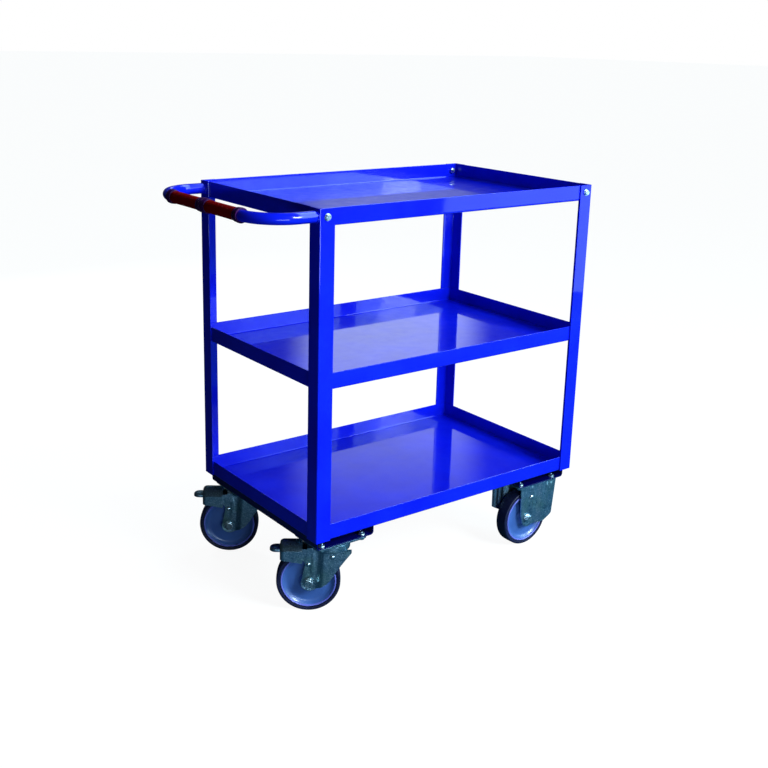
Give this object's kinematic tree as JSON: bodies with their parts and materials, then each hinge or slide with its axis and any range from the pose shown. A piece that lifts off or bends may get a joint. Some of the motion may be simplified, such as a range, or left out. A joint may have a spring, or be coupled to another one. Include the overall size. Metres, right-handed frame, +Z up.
{
  "type": "shelf trolley",
  "caption": "Steel shelf trolley with shallow folded trays between angle posts, a tubular push handle with sleeve grips, braked swivel casters at the handle end and fixed casters at the front.",
  "frame": {"origin": "on the floor, on the middle plane between the long sides, halfway between the handle's outermost point and the front end; one swivel caster rests turned past the left side, so the box's middle is 7 mm to the left of it", "axes": "+X towards the front, away from the handle; +Y towards the left of someone pushing; +Z up"},
  "size_m": [0.9474, 0.5305, 0.957],
  "materials": {
    "blue_paint": "glossy powder coat",
    "grip_plastic": "satin dark red plastic",
    "zinc_fastener": "bright zinc plated",
    "zinc_pressing": "bright zinc plated sheet",
    "tyre_rubber": "smooth dark navy rubber",
    "rim_plastic": "satin blue-grey moulded plastic",
    "brake_rubber": "matte black rubber"
  },
  "bodies": {
    "cart_frame": {"post_rear_right": "blue_paint", "corner_bolt_rear_right": "zinc_fastener", "corner_nut_rear_right": "zinc_fastener", "post_rear_left": "blue_paint", "corner_bolt_rear_left": "zinc_fastener", "corner_nut_rear_left": "zinc_fastener", "post_front_right": "blue_paint", "corner_bolt_front_right": "zinc_fastener", "corner_nut_front_right": "zinc_fastener", "post_front_left": "blue_paint", "corner_bolt_front_left": "zinc_fastener", "corner_nut_front_left": "zinc_fastener", "top_tray": "blue_paint", "middle_tray": "blue_paint", "bottom_tray": "blue_paint", "handle_tube": "blue_paint", "grip_right": "grip_plastic", "grip_left": "grip_plastic", "caster_channel_rear": "blue_paint", "caster_channel_front": "blue_paint", "rear_right_caster_plate": "zinc_pressing", "rear_right_upper_race": "zinc_pressing", "rear_right_king_pin": "zinc_fastener", "rear_left_caster_plate": "zinc_pressing", "rear_left_upper_race": "zinc_pressing", "rear_left_king_pin": "zinc_fastener", "front_right_caster_bracket": "zinc_pressing", "front_right_axle_sleeve": "zinc_fastener", "front_right_axle_bolt": "zinc_fastener", "front_right_axle_nut": "zinc_fastener", "front_left_caster_bracket": "zinc_pressing", "front_left_axle_sleeve": "zinc_fastener", "front_left_axle_bolt": "zinc_fastener", "front_left_axle_nut": "zinc_fastener"},
    "rear_right_swivel": {"rear_right_fork": "zinc_pressing", "rear_right_ball_ring": "zinc_fastener", "rear_right_axle_sleeve": "zinc_fastener", "rear_right_axle_bolt": "zinc_fastener", "rear_right_axle_nut": "zinc_fastener", "rear_right_pedal_rivet_a": "zinc_fastener", "rear_right_pedal_rivet_b": "zinc_fastener"},
    "rear_right_wheel": {"rear_right_rim": "rim_plastic", "rear_right_tyre": "tyre_rubber"},
    "rear_right_brake": {"rear_right_brake_pedal": "zinc_pressing", "rear_right_brake_shoe": "brake_rubber"},
    "rear_left_swivel": {"rear_left_fork": "zinc_pressing", "rear_left_ball_ring": "zinc_fastener", "rear_left_axle_sleeve": "zinc_fastener", "rear_left_axle_bolt": "zinc_fastener", "rear_left_axle_nut": "zinc_fastener", "rear_left_pedal_rivet_a": "zinc_fastener", "rear_left_pedal_rivet_b": "zinc_fastener"},
    "rear_left_wheel": {"rear_left_rim": "rim_plastic", "rear_left_tyre": "tyre_rubber"},
    "rear_left_brake": {"rear_left_brake_pedal": "zinc_pressing", "rear_left_brake_shoe": "brake_rubber"},
    "front_right_wheel": {"front_right_rim": "rim_plastic", "front_right_tyre": "tyre_rubber"},
    "front_left_wheel": {"front_left_rim": "rim_plastic", "front_left_tyre": "tyre_rubber"}
  },
  "joints": [
    {"name": "rear_right_swivel_turn", "type": "hinge", "parent": "cart_frame", "child": "rear_right_swivel", "pos_m": [-0.2453, -0.1842, 0.17], "axis": [0, 0, 1], "continuous": true},
    {"name": "rear_right_wheel_spin", "type": "hinge", "parent": "rear_right_swivel", "child": "rear_right_wheel", "pos_m": [-0.28628, -0.15556, 0.075], "axis": [0.5729, 0.8196, 0], "continuous": true},
    {"name": "rear_right_brake_press", "type": "hinge", "parent": "rear_right_swivel", "child": "rear_right_brake", "pos_m": [-0.28628, -0.15556, 0.1215], "axis": [-0.5729, -0.8196, 0], "range_deg": [0, 8]},
    {"name": "rear_left_swivel_turn", "type": "hinge", "parent": "cart_frame", "child": "rear_left_swivel", "pos_m": [-0.2453, 0.1842, 0.17], "axis": [0, 0, 1], "continuous": true},
    {"name": "rear_left_wheel_spin", "type": "hinge", "parent": "rear_left_swivel", "child": "rear_left_wheel", "pos_m": [-0.28628, 0.21284, 0.075], "axis": [0.5729, 0.8196, 0], "continuous": true},
    {"name": "rear_left_brake_press", "type": "hinge", "parent": "rear_left_swivel", "child": "rear_left_brake", "pos_m": [-0.28628, 0.21284, 0.1215], "axis": [-0.5729, -0.8196, 0], "range_deg": [0, 8]},
    {"name": "front_right_wheel_spin", "type": "hinge", "parent": "cart_frame", "child": "front_right_wheel", "pos_m": [0.3757, -0.182, 0.075], "axis": [0, 1, 0], "continuous": true},
    {"name": "front_left_wheel_spin", "type": "hinge", "parent": "cart_frame", "child": "front_left_wheel", "pos_m": [0.3757, 0.182, 0.075], "axis": [0, 1, 0], "continuous": true}
  ]
}
